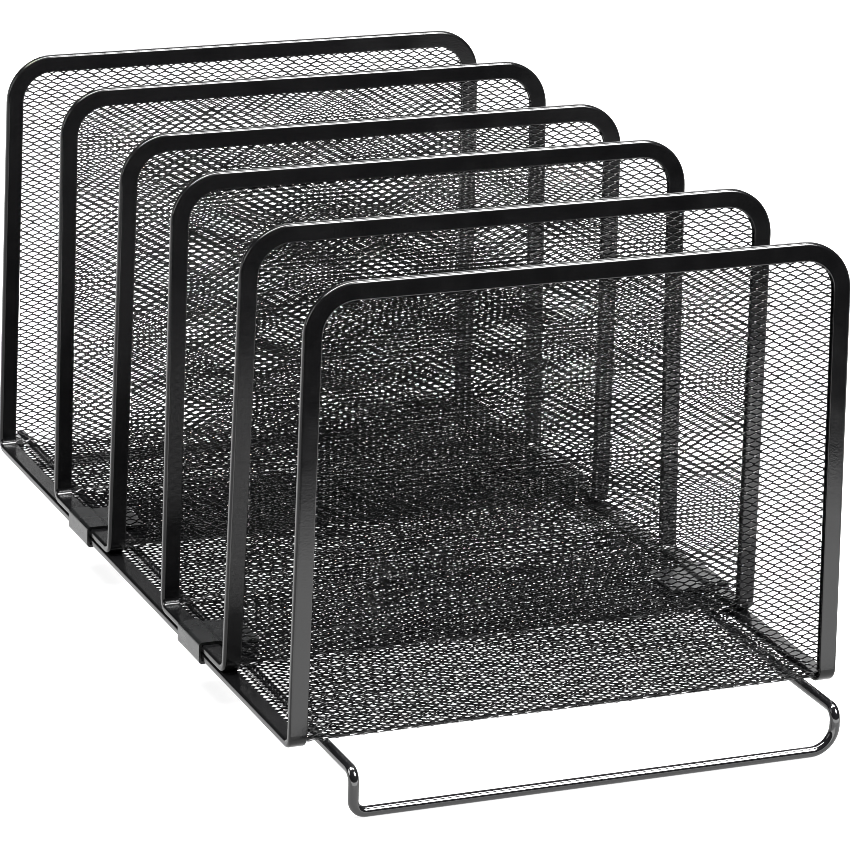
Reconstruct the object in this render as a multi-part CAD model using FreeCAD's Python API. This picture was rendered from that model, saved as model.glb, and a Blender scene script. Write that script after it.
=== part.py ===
import FreeCAD, Part
import math
import os

# Desk file sorter: six rimmed mesh panels in three nested U frames on a wire foot loop.
# Millimetres. Origin on the table under the middle of the sorter, +Z up, front towards -Y.

# Overall size
overall_width = 209.6
overall_depth = 384.0
overall_height = 184.0

# Rim: flat steel strip along the edge of every frame, slotted on its inner edge for the mesh
rim_width = 6.6
rim_thick = 3.0
rim_edge_r = 1.1
rim_inner_edge_r = 0.5
slot_depth = 2.0
slot_play = 0.1
corner_r = 18.5
fold_r = 4.0
kink_r = 20.0

# Mesh sheet
mesh_thick = 0.8
mesh_edge_play = 0.2

# Panels: places along the depth where each one meets its base, how far it leans,
# and how far each of its two legs leans in towards the top
end_panel_y = 167.5
divider_pitch = 66.4
rear_divider_y = 60.2
front_divider_y = -68.4
end_lean_in = 0.6
divider_lean_out = 1.0
leg_taper = 1.1

# Foot loop: it sits a little to the right of the middle, and its right corners are bent wider
wire_d = 3.8
wire_bend_r = 4.0
bar_bend_left_r = 4.6
bar_bend_right_r = 9.0
foot_drop = 14.7
arm_spread = 181.2
foot_shift = 2.2

# Clips
clip_length = 23.0
clip_sheet = 1.0
clip_play = 0.1
clip_reach = 22.0
clip_bend_r = 0.5
clip_saddle_share = 0.6

# Worked out from the sizes above. half_width is that of the frames; the clips stand proud of them.
half_width = overall_width / 2 - clip_sheet - clip_play
wire_r = wire_d / 2
bar_z = wire_r
arm_z = bar_z + foot_drop
outer_base_z = arm_z + wire_r + mesh_thick / 2
divider_base_z = outer_base_z + rim_thick
panel_height = overall_height - divider_base_z
left_arm_x = foot_shift - arm_spread / 2
right_arm_x = foot_shift + arm_spread / 2
bar_y = overall_depth / 2 - wire_r

X = FreeCAD.Vector(1, 0, 0)
Y = FreeCAD.Vector(0, 1, 0)
Z = FreeCAD.Vector(0, 0, 1)
ORIGIN = FreeCAD.Vector(0, 0, 0)


class Walker:
    """Carries a flat section along a path of straight runs and bends.

    The section lies in local XY and the path runs along local Z.
    """

    def __init__(self, start, section):
        self.place = start
        self.section = section
        self.pieces = []

    def straight(self, length):
        piece = self.section.extrude(Z * length)
        self.keep(piece)
        self.place = self.place.multiply(FreeCAD.Placement(Z * length, FreeCAD.Rotation()))

    def bend(self, angle, centre, axis):
        piece = self.section.revolve(centre, axis, angle)
        self.keep(piece)
        turn = FreeCAD.Placement(ORIGIN, FreeCAD.Rotation(axis, angle), centre)
        self.place = self.place.multiply(turn)

    def fold(self, angle, radius):
        """Bend the path towards local +Y."""
        self.bend(angle, Y * radius, X * -1)

    def corner(self, angle, radius):
        """Bend the path towards local +X."""
        self.bend(angle, X * radius, Y)

    def keep(self, piece):
        piece.Placement = self.place.multiply(piece.Placement)
        self.pieces.append(piece)

    def solid(self):
        return join(self.pieces)


def join(pieces):
    whole = pieces[0].multiFuse(pieces[1:]).removeSplitter()
    return whole.Solids[0]


def local_frame(origin, along, across):
    """Placement whose Z axis is `along` and whose X axis is `across`."""
    side = along.cross(across)
    rotation = FreeCAD.Rotation(across, side, along, "ZXY")
    return FreeCAD.Placement(origin, rotation)


def outline_face(points_and_radii):
    """Face in local XY from corner points, each with the radius that rounds it."""
    count = len(points_and_radii)
    edges = []
    starts = []
    ends = []
    middles = []
    for i in range(count):
        x, y, radius = points_and_radii[i]
        px, py, _ = points_and_radii[i - 1]
        nx, ny, _ = points_and_radii[(i + 1) % count]
        here = FreeCAD.Vector(x, y, 0)
        back = (FreeCAD.Vector(px, py, 0) - here).normalize()
        ahead = (FreeCAD.Vector(nx, ny, 0) - here).normalize()
        half = back.getAngle(ahead) / 2
        reach = radius / math.tan(half)
        starts.append(here + back * reach)
        ends.append(here + ahead * reach)
        bisector = (back + ahead).normalize()
        middles.append(here + bisector * (radius / math.sin(half) - radius))
    for i in range(count):
        if points_and_radii[i][2] > 0:
            edges.append(Part.Arc(starts[i], middles[i], ends[i]).toShape())
        edges.append(Part.LineSegment(ends[i], starts[(i + 1) % count]).toShape())
    return Part.Face(Part.Wire(edges))


def rim_section():
    """Strip section: outer edge at x = 0, slot for the mesh in the inner edge."""
    half = rim_thick / 2
    slot = (mesh_thick + slot_play) / 2
    floor = rim_width - slot_depth
    return outline_face([
        (0, -half, rim_edge_r),
        (rim_width, -half, rim_inner_edge_r),
        (rim_width, -slot, 0),
        (floor, -slot, 0),
        (floor, slot, 0),
        (rim_width, slot, 0),
        (rim_width, half, rim_inner_edge_r),
        (0, half, rim_edge_r),
    ])


def fold_angle(lean):
    """Angle the strip turns through at the base, for a panel leaning `lean` out of upright."""
    return 90 - lean


def fold_setback(lean):
    """Distance from the sharp corner of a fold to where its bend starts."""
    return fold_r * math.tan(math.radians(fold_angle(lean)) / 2)


def rim(front_y, rear_y, base_z, lean):
    """Closed rim of one U frame: two arched panels and the two rails that join them.

    `lean` is how far each panel leans outwards, in degrees.
    """
    setback = fold_setback(lean)
    rail = rear_y - front_y - 2 * setback
    taper = math.radians(leg_taper)
    rise = panel_height / math.cos(math.radians(lean)) - setback
    arch_rise = corner_r * (1 - math.sin(taper))
    leg = (rise - arch_rise - kink_r * math.sin(taper)) / math.cos(taper)
    narrowing = kink_r * (1 - math.cos(taper)) + leg * math.sin(taper)
    top = 2 * (half_width - narrowing - corner_r * math.cos(taper))
    start = local_frame(FreeCAD.Vector(-half_width, rear_y - setback, base_z), Y * -1, X)
    walker = Walker(start, rim_section())
    for _ in range(2):
        walker.straight(rail)
        walker.fold(fold_angle(lean), fold_r)
        walker.corner(leg_taper, kink_r)
        walker.straight(leg)
        walker.corner(90 - leg_taper, corner_r)
        walker.straight(top)
        walker.corner(90 - leg_taper, corner_r)
        walker.straight(leg)
        walker.corner(leg_taper, kink_r)
        walker.fold(fold_angle(lean), fold_r)
    return walker.solid()


def mesh(front_y, rear_y, base_z, lean):
    """Mesh sheet of one U frame, from the slot of one panel's rim to that of the other."""
    inset = rim_width - slot_depth + mesh_edge_play
    half = half_width - inset
    thick = mesh_thick / 2
    arch_r = corner_r - inset
    setback = fold_setback(lean)
    leg = panel_height / math.cos(math.radians(lean)) - setback - inset
    top_half = half - leg * math.tan(math.radians(leg_taper))
    strip = outline_face([
        (-half, -thick, 0),
        (half, -thick, 0),
        (half, thick, 0),
        (-half, thick, 0),
    ])
    start = local_frame(FreeCAD.Vector(0, rear_y - setback, base_z), Y * -1, X)
    walker = Walker(start, strip)
    walker.straight(rear_y - front_y - 2 * setback)
    for _ in range(2):
        walker.fold(fold_angle(lean), fold_r)
        arch = outline_face([
            (-half, 0, 0),
            (half, 0, 0),
            (top_half, leg, arch_r),
            (-top_half, leg, arch_r),
        ]).extrude(Z * mesh_thick)
        arch.Placement = FreeCAD.Placement(Y * thick, FreeCAD.Rotation(X, 90))
        walker.keep(arch)
        walker.place = local_frame(FreeCAD.Vector(0, rear_y - setback, base_z), Y, X * -1)
    return walker.solid()


def foot_loop():
    """Closed wire loop: two arms under the base, dropped at both ends into cross bars."""
    section = Part.Face(Part.Wire(Part.Circle(ORIGIN, Z, wire_r).toShape()))
    arm = 2 * (bar_y - wire_bend_r)
    bar = arm_spread - bar_bend_left_r - bar_bend_right_r
    start = local_frame(FreeCAD.Vector(left_arm_x, bar_y - wire_bend_r, arm_z), Y * -1, X)
    walker = Walker(start, section)
    left_to_right = (bar_bend_left_r, bar_bend_right_r)
    for first_r, last_r in (left_to_right, left_to_right[::-1]):
        walker.straight(arm)
        walker.fold(-90, -wire_bend_r)
        walker.straight(foot_drop - wire_bend_r - first_r)
        walker.corner(90, first_r)
        walker.straight(bar)
        walker.corner(90, last_r)
        walker.straight(foot_drop - wire_bend_r - last_r)
        walker.fold(-90, -wire_bend_r)
    return walker.solid()


def strap_face(points, thick, bend_r):
    """Face of a bent strip. `points` run along its inner surface, with the strip on their left.

    `bend_r` is the radius on the inside of every bend.
    """
    steps = []
    for i in range(len(points) - 1):
        run = FreeCAD.Vector(*points[i + 1], 0) - FreeCAD.Vector(*points[i], 0)
        steps.append(run.normalize())
    inner = []
    outer = []
    for i, (x, y) in enumerate(points):
        before = steps[max(i - 1, 0)]
        after = steps[min(i, len(steps) - 1)]
        normal = Z.cross(before + after).normalize()
        shift = normal * (thick / normal.dot(Z.cross(after)))
        turn = before.cross(after).z
        inside = bend_r if abs(turn) > 0.01 else 0
        outside = bend_r + thick if abs(turn) > 0.01 else 0
        inner.append((x, y, inside if turn < 0 else outside))
        outer.append((x + shift.x, y + shift.y, outside if turn < 0 else inside))
    return outline_face(inner + outer[::-1])


def clip(centre_y, side):
    """Strap that holds a divider rail, the outer rail under it and the foot wire together.

    `side` is 1 on the right and -1 on the left.
    """
    arm_x = right_arm_x if side > 0 else -left_arm_x
    end = half_width - clip_reach
    rail_inner = half_width - rim_width
    mesh_top = divider_base_z + mesh_thick / 2 + clip_play
    rail_top = divider_base_z + rim_thick / 2 + clip_play
    rail_under = outer_base_z - rim_thick / 2 - clip_play
    mesh_under = outer_base_z - mesh_thick / 2 - clip_play
    wire_under = arm_z - wire_r - clip_play
    step = rail_top - mesh_top
    saddle = wire_r * clip_saddle_share
    section = strap_face([
        (end, mesh_top),
        (rail_inner - clip_play - step, mesh_top),
        (rail_inner - clip_play, rail_top),
        (half_width + clip_play, rail_top),
        (half_width + clip_play, rail_under),
        (arm_x + saddle + rail_under - wire_under, rail_under),
        (arm_x + saddle, wire_under),
        (arm_x - saddle, wire_under),
        (arm_x - saddle - (mesh_under - wire_under), mesh_under),
        (end, mesh_under),
    ], clip_sheet, clip_bend_r)
    strap = section.extrude(Z * clip_length)
    upright = FreeCAD.Rotation(X, 90)
    strap.Placement = FreeCAD.Placement(Y * (centre_y + clip_length / 2), upright)
    if side < 0:
        strap = strap.mirror(ORIGIN, X)
    return strap


def frame_nodes(name, front_y, rear_y, base_z, lean):
    """The rim and the mesh of one U frame, by node name."""
    return {
        name + "_rim": rim(front_y, rear_y, base_z, lean),
        name + "_mesh": mesh(front_y, rear_y, base_z, lean),
    }


def divider_nodes(name, centre_y):
    """One divider frame and its two clips, by node name."""
    reach = divider_pitch / 2
    nodes = frame_nodes(name + "_divider", centre_y - reach, centre_y + reach,
                        divider_base_z, divider_lean_out)
    nodes[name + "_left_clip"] = clip(centre_y, -1)
    nodes[name + "_right_clip"] = clip(centre_y, 1)
    return nodes


nodes = frame_nodes("outer", -end_panel_y, end_panel_y, outer_base_z, -end_lean_in)
nodes.update(divider_nodes("rear", rear_divider_y))
nodes.update(divider_nodes("front", front_divider_y))
nodes["foot_loop"] = foot_loop()

os.makedirs("parts", exist_ok=True)
for name, shape in nodes.items():
    solid = shape.Solids[0]
    solid.exportStep(os.path.join("parts", name + ".step"))
    box = solid.BoundBox
    print(name, "valid" if solid.isValid() else "BROKEN", round(solid.Volume, 1),
          [round(v, 2) for v in (box.XMin, box.XMax, box.YMin, box.YMax, box.ZMin, box.ZMax)])
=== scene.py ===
"""Desk file sorter: looks, floor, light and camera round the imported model.

The rims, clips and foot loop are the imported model's own nodes with better coats. The plain sheets
are replaced by raised expanded metal, made strand by strand on the same folded sheets.
"""

import math

import bpy
import numpy as np
from mathutils import Matrix, Vector


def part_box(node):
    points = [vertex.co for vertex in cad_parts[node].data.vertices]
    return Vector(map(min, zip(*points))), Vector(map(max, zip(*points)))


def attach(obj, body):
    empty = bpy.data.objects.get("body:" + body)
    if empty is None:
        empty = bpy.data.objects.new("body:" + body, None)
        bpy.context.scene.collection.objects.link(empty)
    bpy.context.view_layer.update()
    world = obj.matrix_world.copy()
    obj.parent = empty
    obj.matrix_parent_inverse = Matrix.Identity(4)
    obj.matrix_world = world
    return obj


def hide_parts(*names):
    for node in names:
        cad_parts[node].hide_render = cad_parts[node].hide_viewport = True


MM = 0.001

# Folded sheets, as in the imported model
SHEET_THICK = 0.8 * MM
FOLD_R = 4.0 * MM
ARCH_R = 13.7 * MM
LEG_TAPER = math.radians(1.1)
END_LEAN = math.radians(-0.6)
DIVIDER_LEAN = math.radians(1.0)

# Expanded metal: diamonds LONG_PITCH wide and SHORT_PITCH high, joined at small tilted bonds. The ends
# of a bond, where the strands leave it, rise at BOND_END_RISE of the slope of its middle. EDGE_MARGIN
# keeps the strands clear of the sheet's outline. UNEVEN is the scatter of the bonds' places in the
# sheet, and TILT_UNEVEN that of their rise.
LONG_PITCH = 5.0 * MM
SHORT_PITCH = 2.95 * MM
BOND_HALF_WIDTH = 0.27 * MM
BOND_HALF_HEIGHT = 0.57 * MM
BOND_RISE = 0.34 * MM
BOND_END_RISE = 0.35
STRAND_HEIGHT = 0.47 * MM
STRAND_THICK = 0.50 * MM
EDGE_MARGIN = 0.2 * MM
UNEVEN = 0.02 * MM
TILT_UNEVEN = 0.08 * MM
SEED = 7

# Coats: linear colours. WORN colours show faintly in broad patches.
MESH_BLACK = (0.0008, 0.0008, 0.0009)
RIM_BLACK = MESH_BLACK
RIM_WORN = (0.0020, 0.0020, 0.0021)
CLIP_BLACK = (0.0016, 0.0017, 0.0018)
CLIP_WORN = (0.0026, 0.0027, 0.0028)
WIRE_BLACK = (0.002, 0.002, 0.0022)
WIRE_WORN = (0.003, 0.003, 0.0033)

# Grain of the powder coat: patches of sheen about 10 mm across, and pores under 1 mm
PATCH_SCALE = 90
PATCH_DETAIL = 4
PATCH_LOW = 0.3
PATCH_HIGH = 0.7
PORE_SCALE = 1400
PORE_DETAIL = 2
PORE_DEPTH = 0.05 * MM

# Pale floor that glows a little, for an even white. It ends in front of the sorter.
FLOOR_SIZE = 40.0
FLOOR_IN_FRONT = 0.45
FLOOR_GREY = (0.12, 0.12, 0.12, 1)
FLOOR_GLOW = 0.85
FLOOR_ROUGHNESS = 0.9
FLOOR_SPECULAR = 0.1
WHITE = (1, 1, 1, 1)

# Width of the pixel filter, in pixels: narrow, so that the strands stay crisp
FILTER_WIDTH = 0.8

# Photograph's view
CAMERA_AT = Vector((-0.58587, -1.42859, 0.57640))
CAMERA_YAW = math.radians(22.7492)
CAMERA_PITCH = math.radians(18.1145)
CAMERA_ROLL = math.radians(1.7966)
CAMERA_LENS = 182.338
SENSOR = 36.0


class Sheet:
    """One folded sheet. `s` runs along it from the top of its front panel to the top of its rear one.

    `n` is the distance off the sheet's middle, towards the inside of the fold.
    """

    def __init__(self, node, lean):
        low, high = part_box(node)
        half = SHEET_THICK / 2
        self.base_z = low[2] + half
        self.centre_y = (low[1] + high[1]) / 2
        self.half_width = (high[0] - low[0]) / 2
        self.turn = math.pi / 2 - lean
        reach = (high[1] - low[1]) / 2
        outer_arc = FOLD_R + half
        if lean < 0:
            self.base_half = reach - outer_arc
            self.run = (high[2] - self.base_z - FOLD_R * (1 - math.cos(self.turn))) / math.sin(self.turn)
        else:
            drop = FOLD_R * (1 - math.cos(self.turn)) + half * math.cos(self.turn)
            self.run = (high[2] - self.base_z - drop) / math.sin(self.turn)
            self.base_half = reach - FOLD_R * math.sin(self.turn) - self.run * math.cos(self.turn)
            self.base_half -= half * math.sin(self.turn)
        self.panel_from = self.base_half + FOLD_R * self.turn
        self.length = self.panel_from + self.run

    def place(self, u, s, n):
        """Points in the row frame."""
        side = np.sign(s)
        far = np.abs(s)
        turned = np.clip((far - self.base_half) / FOLD_R, 0, self.turn)
        flat = np.minimum(far, self.base_half)
        beyond = np.maximum(far - self.panel_from, 0)
        y = flat + FOLD_R * np.sin(turned) + beyond * np.cos(turned) - n * np.sin(turned)
        z = FOLD_R * (1 - np.cos(turned)) + beyond * np.sin(turned) + n * np.cos(turned)
        return np.stack([u, self.centre_y + side * y, self.base_z + z], -1)

    def holds(self, u, s, margin):
        """True where the sheet's outline has metal, `margin` in from its edge."""
        up = np.maximum(np.abs(s) - self.panel_from, 0)
        left_up = self.run - margin - up
        half = self.half_width - margin - up * math.tan(LEG_TAPER)
        radius = ARCH_R - margin
        inside = (np.abs(u) <= half) & (left_up >= 0)
        over = np.maximum(np.abs(u) - (half - radius), 0)
        high = np.maximum(radius - left_up, 0)
        return inside & ((over == 0) | (high == 0) | (over**2 + high**2 <= radius**2))


# Corners of a bond: side (0 left, 1 right), level (0 to 3 from its low end), face (0 outer, 1 inner).
# Strands leave its sides between levels 0 and 1, and between levels 2 and 3.
MIDDLE = 1 - STRAND_HEIGHT / BOND_HALF_HEIGHT
LEVELS = np.array([-1, -MIDDLE, MIDDLE, 1])
CORNERS = 2 * len(LEVELS) * 2


def corner(side, level, face):
    return (side * len(LEVELS) + level) * 2 + face


def side_face(side, level):
    """The quad on a bond's side from one level to the next: low, high, high, low."""
    return [
        corner(side, level, 0),
        corner(side, level + 1, 0),
        corner(side, level + 1, 1),
        corner(side, level, 1),
    ]


def bond_faces():
    """The quads of a bond, without the openings where strands leave it."""
    top = len(LEVELS) - 1
    faces = [
        [corner(0, top, 1), corner(1, top, 1), corner(1, top, 0), corner(0, top, 0)],
        [corner(0, 0, 0), corner(1, 0, 0), corner(1, 0, 1), corner(0, 0, 1)],
        side_face(1, 1),
        side_face(0, 1)[::-1],
    ]
    for level in range(top):
        inner = [corner(0, level, 1), corner(1, level, 1), corner(1, level + 1, 1), corner(0, level + 1, 1)]
        outer = [corner(0, level + 1, 0), corner(1, level + 1, 0), corner(1, level, 0), corner(0, level, 0)]
        faces += [inner, outer]
    return faces


def opening(side, upper):
    """The quad on a bond's side where a strand leaves it."""
    return side_face(side, 2 if upper else 0)


def strand_faces(left, right):
    """Four quads from the opening of the bond on the left to that of the bond on the right."""
    l_low0, l_high0, l_high1, l_low1 = left
    r_low0, r_high0, r_high1, r_low1 = right
    return [
        (l_low1, r_low1, r_high1, l_high1),
        (l_high0, r_high0, r_low0, l_low0),
        (l_high1, r_high1, r_high0, l_high0),
        (l_low0, r_low0, r_low1, l_low1),
    ]


def expanded_metal(sheet, cuts, rng):
    """Vertices of the whole expanded sheet, and its quads parted where `s` passes each of `cuts`."""
    columns = int(sheet.half_width / (LONG_PITCH / 2)) + 1
    rows = int(sheet.length / (SHORT_PITCH / 2)) + 1
    i, j = np.meshgrid(np.arange(-columns, columns + 1), np.arange(-rows, rows + 1), indexing="ij")
    u = i * LONG_PITCH / 2
    s = j * SHORT_PITCH / 2
    there = ((i + j) % 2 == 0) & sheet.holds(u, s, EDGE_MARGIN + BOND_HALF_WIDTH)
    index = np.full(there.shape, -1)
    index[there] = np.arange(there.sum())
    count = int(there.sum())
    u, s = u[there], s[there]

    rise = -BOND_RISE + rng.normal(0, TILT_UNEVEN, count)
    shift_u = rng.normal(0, UNEVEN, count)
    shift_s = rng.normal(0, UNEVEN, count)
    points = np.empty((count, CORNERS, 3))
    lean = np.hypot(BOND_HALF_HEIGHT, rise)
    climb = MIDDLE + (np.abs(LEVELS) - MIDDLE) * BOND_END_RISE
    for side in (0, 1):
        for level, height in enumerate(LEVELS):
            for face in (0, 1):
                off = (face - 0.5) * STRAND_THICK
                du = (side * 2 - 1) * BOND_HALF_WIDTH + shift_u
                ds = height * BOND_HALF_HEIGHT - off * rise / lean + shift_s
                dn = np.sign(height) * climb[level] * rise + off * BOND_HALF_HEIGHT / lean
                points[:, corner(side, level, face)] = sheet.place(u + du, s + ds, dn)

    first = np.arange(count)[:, None] * CORNERS
    quads = [first + np.array(face) for face in bond_faces()]
    rows_of = [np.arange(count)] * len(quads)
    for di, side in ((1, 1), (-1, 0)):
        near = np.full(index.shape, -1)
        near[max(0, -di) : index.shape[0] - max(0, di), :-1] = index[
            max(0, di) : index.shape[0] + min(0, di), 1:
        ]
        above = near[there]
        a = np.nonzero(above >= 0)[0]
        b = above[a]
        own = [a * CORNERS + c for c in opening(side, True)]
        other = [b * CORNERS + c for c in opening(1 - side, False)]
        left, right = (own, other) if side == 1 else (other, own)
        for quad in strand_faces(left, right):
            quads.append(np.stack(quad, -1))
            rows_of.append(a)
        met = np.zeros(count, bool)
        met[b] = True
        ends = (
            (np.nonzero(above < 0)[0], True, side),
            (np.nonzero(~met)[0], False, 1 - side),
        )
        for lone, upper, end in ends:
            cap = opening(end, upper)
            cap = cap if end == 1 else cap[::-1]
            quads.append(np.stack([lone * CORNERS + c for c in cap], -1))
            rows_of.append(lone)
    quads = np.concatenate(quads)
    part = np.searchsorted(cuts, s)[np.concatenate(rows_of)]
    return points.reshape(-1, 3), [quads[part == k] for k in range(len(cuts) + 1)]


def mesh_piece(name, points, quads, material):
    """Mesh object of the quads and only the points that they use."""
    used, compact = np.unique(quads, return_inverse=True)
    data = bpy.data.meshes.new(name)
    data.vertices.add(len(used))
    data.vertices.foreach_set("co", points[used].astype(np.float32).ravel())
    data.loops.add(quads.size)
    data.loops.foreach_set("vertex_index", compact.astype(np.int32).ravel())
    data.polygons.add(len(quads))
    data.polygons.foreach_set("loop_start", np.arange(0, quads.size, 4, dtype=np.int32))
    data.update(calc_edges=True)
    data.validate()
    data.shade_flat()
    data.materials.append(material)
    piece = bpy.data.objects.new(name, data)
    bpy.context.scene.collection.objects.link(piece)
    return piece


def coat(name, colour, roughness, specular, grain, patchy, worn=None):
    """Powder coat: fine grain in the surface, and a sheen that varies a little from place to place.

    `grain` is the strength of the pores, and `patchy` how far the roughness strays either way. `worn`
    is the colour that shows faintly in broad patches; without it the colour is even.
    """
    material = bpy.data.materials.new(name)
    material.use_nodes = True
    nodes = material.node_tree.nodes
    links = material.node_tree.links
    nodes.clear()
    out = nodes.new("ShaderNodeOutputMaterial")
    shader = nodes.new("ShaderNodeBsdfPrincipled")
    links.new(shader.outputs["BSDF"], out.inputs["Surface"])
    shader.inputs["Base Color"].default_value = (*colour, 1)
    shader.inputs["Specular IOR Level"].default_value = specular
    place = nodes.new("ShaderNodeTexCoord")

    broad = nodes.new("ShaderNodeTexNoise")
    broad.inputs["Scale"].default_value = PATCH_SCALE
    broad.inputs["Detail"].default_value = PATCH_DETAIL
    links.new(place.outputs["Object"], broad.inputs["Vector"])
    sheen = nodes.new("ShaderNodeMapRange")
    sheen.inputs["From Min"].default_value = PATCH_LOW
    sheen.inputs["From Max"].default_value = PATCH_HIGH
    sheen.inputs["To Min"].default_value = roughness - patchy
    sheen.inputs["To Max"].default_value = roughness + patchy
    links.new(broad.outputs["Fac"], sheen.inputs["Value"])
    links.new(sheen.outputs["Result"], shader.inputs["Roughness"])

    fine = nodes.new("ShaderNodeTexNoise")
    fine.inputs["Scale"].default_value = PORE_SCALE
    fine.inputs["Detail"].default_value = PORE_DETAIL
    links.new(place.outputs["Object"], fine.inputs["Vector"])
    bump = nodes.new("ShaderNodeBump")
    bump.inputs["Strength"].default_value = grain
    bump.inputs["Distance"].default_value = PORE_DEPTH
    links.new(fine.outputs["Fac"], bump.inputs["Height"])
    links.new(bump.outputs["Normal"], shader.inputs["Normal"])

    if worn:
        rubbed = nodes.new("ShaderNodeMix")
        rubbed.data_type = "RGBA"
        rubbed.inputs["A"].default_value = (*colour, 1)
        rubbed.inputs["B"].default_value = (*worn, 1)
        links.new(broad.outputs["Fac"], rubbed.inputs["Factor"])
        links.new(rubbed.outputs["Result"], shader.inputs["Base Color"])
    return material


def dress(names, material):
    """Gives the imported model's nodes a coat."""
    for name in names:
        for material_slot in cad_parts[name].material_slots:
            material_slot.material = material


def softbox(name, at, towards, width, height, radiance):
    """Rectangular light of an even radiance, turned to face a point."""
    light = bpy.data.lights.new(name, "AREA")
    light.shape = "RECTANGLE"
    light.size = width
    light.size_y = height
    light.energy = radiance * math.pi * width * height
    lamp = bpy.data.objects.new(name, light)
    lamp.location = at
    lamp.rotation_euler = (Vector(towards) - Vector(at)).to_track_quat("-Z", "Y").to_euler()
    bpy.context.scene.collection.objects.link(lamp)


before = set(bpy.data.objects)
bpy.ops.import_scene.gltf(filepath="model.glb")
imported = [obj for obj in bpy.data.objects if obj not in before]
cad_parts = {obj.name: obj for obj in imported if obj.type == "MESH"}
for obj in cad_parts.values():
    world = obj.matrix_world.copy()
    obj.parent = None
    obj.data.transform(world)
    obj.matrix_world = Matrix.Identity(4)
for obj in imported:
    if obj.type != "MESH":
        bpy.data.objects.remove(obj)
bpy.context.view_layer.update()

# Coats
rim_coat = coat(
    "rim_powder_coat", RIM_BLACK, roughness=0.17, specular=0.20, grain=0.4, patchy=0.04, worn=RIM_WORN
)
clip_coat = coat(
    "clip_powder_coat", CLIP_BLACK, roughness=0.28, specular=0.30, grain=0.3, patchy=0.06, worn=CLIP_WORN
)
wire_coat = coat(
    "wire_gloss_coat", WIRE_BLACK, roughness=0.10, specular=0.5, grain=0.05, patchy=0.03, worn=WIRE_WORN
)
mesh_coat = coat(
    "mesh_powder_coat", MESH_BLACK, roughness=0.18, specular=0.20, grain=0.1, patchy=0.04
)

dress(["outer_rim", "rear_divider_rim", "front_divider_rim"], rim_coat)
dress(["rear_left_clip", "rear_right_clip", "front_left_clip", "front_right_clip"], clip_coat)
dress(["foot_loop"], wire_coat)

# Expanded metal
random = np.random.default_rng(SEED)
for node, lean, labels in (
    ("outer_mesh", END_LEAN, ["front_panel", "base_front", "base_rear", "rear_panel"]),
    ("rear_divider_mesh", DIVIDER_LEAN, ["front", "rear"]),
    ("front_divider_mesh", DIVIDER_LEAN, ["front", "rear"]),
):
    sheet = Sheet(node, lean)
    edge = sheet.panel_from
    cuts = [-edge, 0.0, edge] if len(labels) == 4 else [0.0]
    points, parts = expanded_metal(sheet, cuts, random)
    for label, quads in zip(labels, parts):
        piece = mesh_piece(f"{node}_{label}", points, quads, mesh_coat)
        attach(piece, "root")
        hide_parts(node)

# Floor
floor_coat = bpy.data.materials.new("pale_floor")
floor_coat.use_nodes = True
floor_shader = floor_coat.node_tree.nodes["Principled BSDF"]
floor_shader.inputs["Base Color"].default_value = FLOOR_GREY
floor_shader.inputs["Emission Color"].default_value = WHITE
floor_shader.inputs["Emission Strength"].default_value = FLOOR_GLOW
floor_shader.inputs["Roughness"].default_value = FLOOR_ROUGHNESS
floor_shader.inputs["Specular IOR Level"].default_value = FLOOR_SPECULAR
bpy.ops.mesh.primitive_plane_add(size=FLOOR_SIZE, location=(0, FLOOR_SIZE / 2 - FLOOR_IN_FRONT, 0))
floor = bpy.context.active_object
floor.name = "floor"
floor.data.materials.append(floor_coat)

# Light: an even white room that the coats do not mirror, and softboxes that they do. Three light the
# sorter, from overhead, the front right and the left. Three are dim and show as reflections: one at the
# back right, a backdrop behind that whitens the rims' flat tops, and a card on the floor in front.
scene = bpy.context.scene
scene.world = bpy.data.worlds.new("room")
scene.world.use_nodes = True
room = scene.world.node_tree.nodes["Background"]
room.inputs["Color"].default_value = WHITE
room.inputs["Strength"].default_value = 1.0
scene.world.cycles_visibility.glossy = False
scene.view_settings.view_transform = "Standard"
scene.cycles.filter_width = FILTER_WIDTH
for name, at, towards, width, height, radiance in (
    ("overhead", (0.0, 0.0, 1.5), (0, 0, 0.1), 1.8, 0.4, 100),
    ("front_right", (0.75, -1.1, 1.35), (0, 0, 0.1), 0.7, 0.7, 110),
    ("left", (-1.5, 0.2, 0.7), (0, 0, 0.1), 0.6, 0.8, 13),
    ("back_right", (0.62, 0.8, 0.35), (0.1, -0.1, 0.05), 0.45, 0.45, 0.5),
    ("backdrop", (1.15, 2.6, 1.15), (0.05, 0, 0.17), 1.6, 0.9, 1.7),
    ("front_card", (0.0, -0.34, 0.001), (0.0, -0.34, 1.0), 0.5, 0.24, 3.8),
):
    softbox(name, at, towards, width, height, radiance)

# Camera
camera_data = bpy.data.cameras.new("camera")
camera_data.lens = CAMERA_LENS
camera_data.sensor_width = SENSOR
camera = bpy.data.objects.new("camera", camera_data)
turn = Matrix.Rotation(-CAMERA_YAW, 4, "Z") @ Matrix.Rotation(math.pi / 2 - CAMERA_PITCH, 4, "X")
camera.matrix_world = Matrix.Translation(CAMERA_AT) @ turn @ Matrix.Rotation(CAMERA_ROLL, 4, "Z")
scene.collection.objects.link(camera)
scene.camera = camera
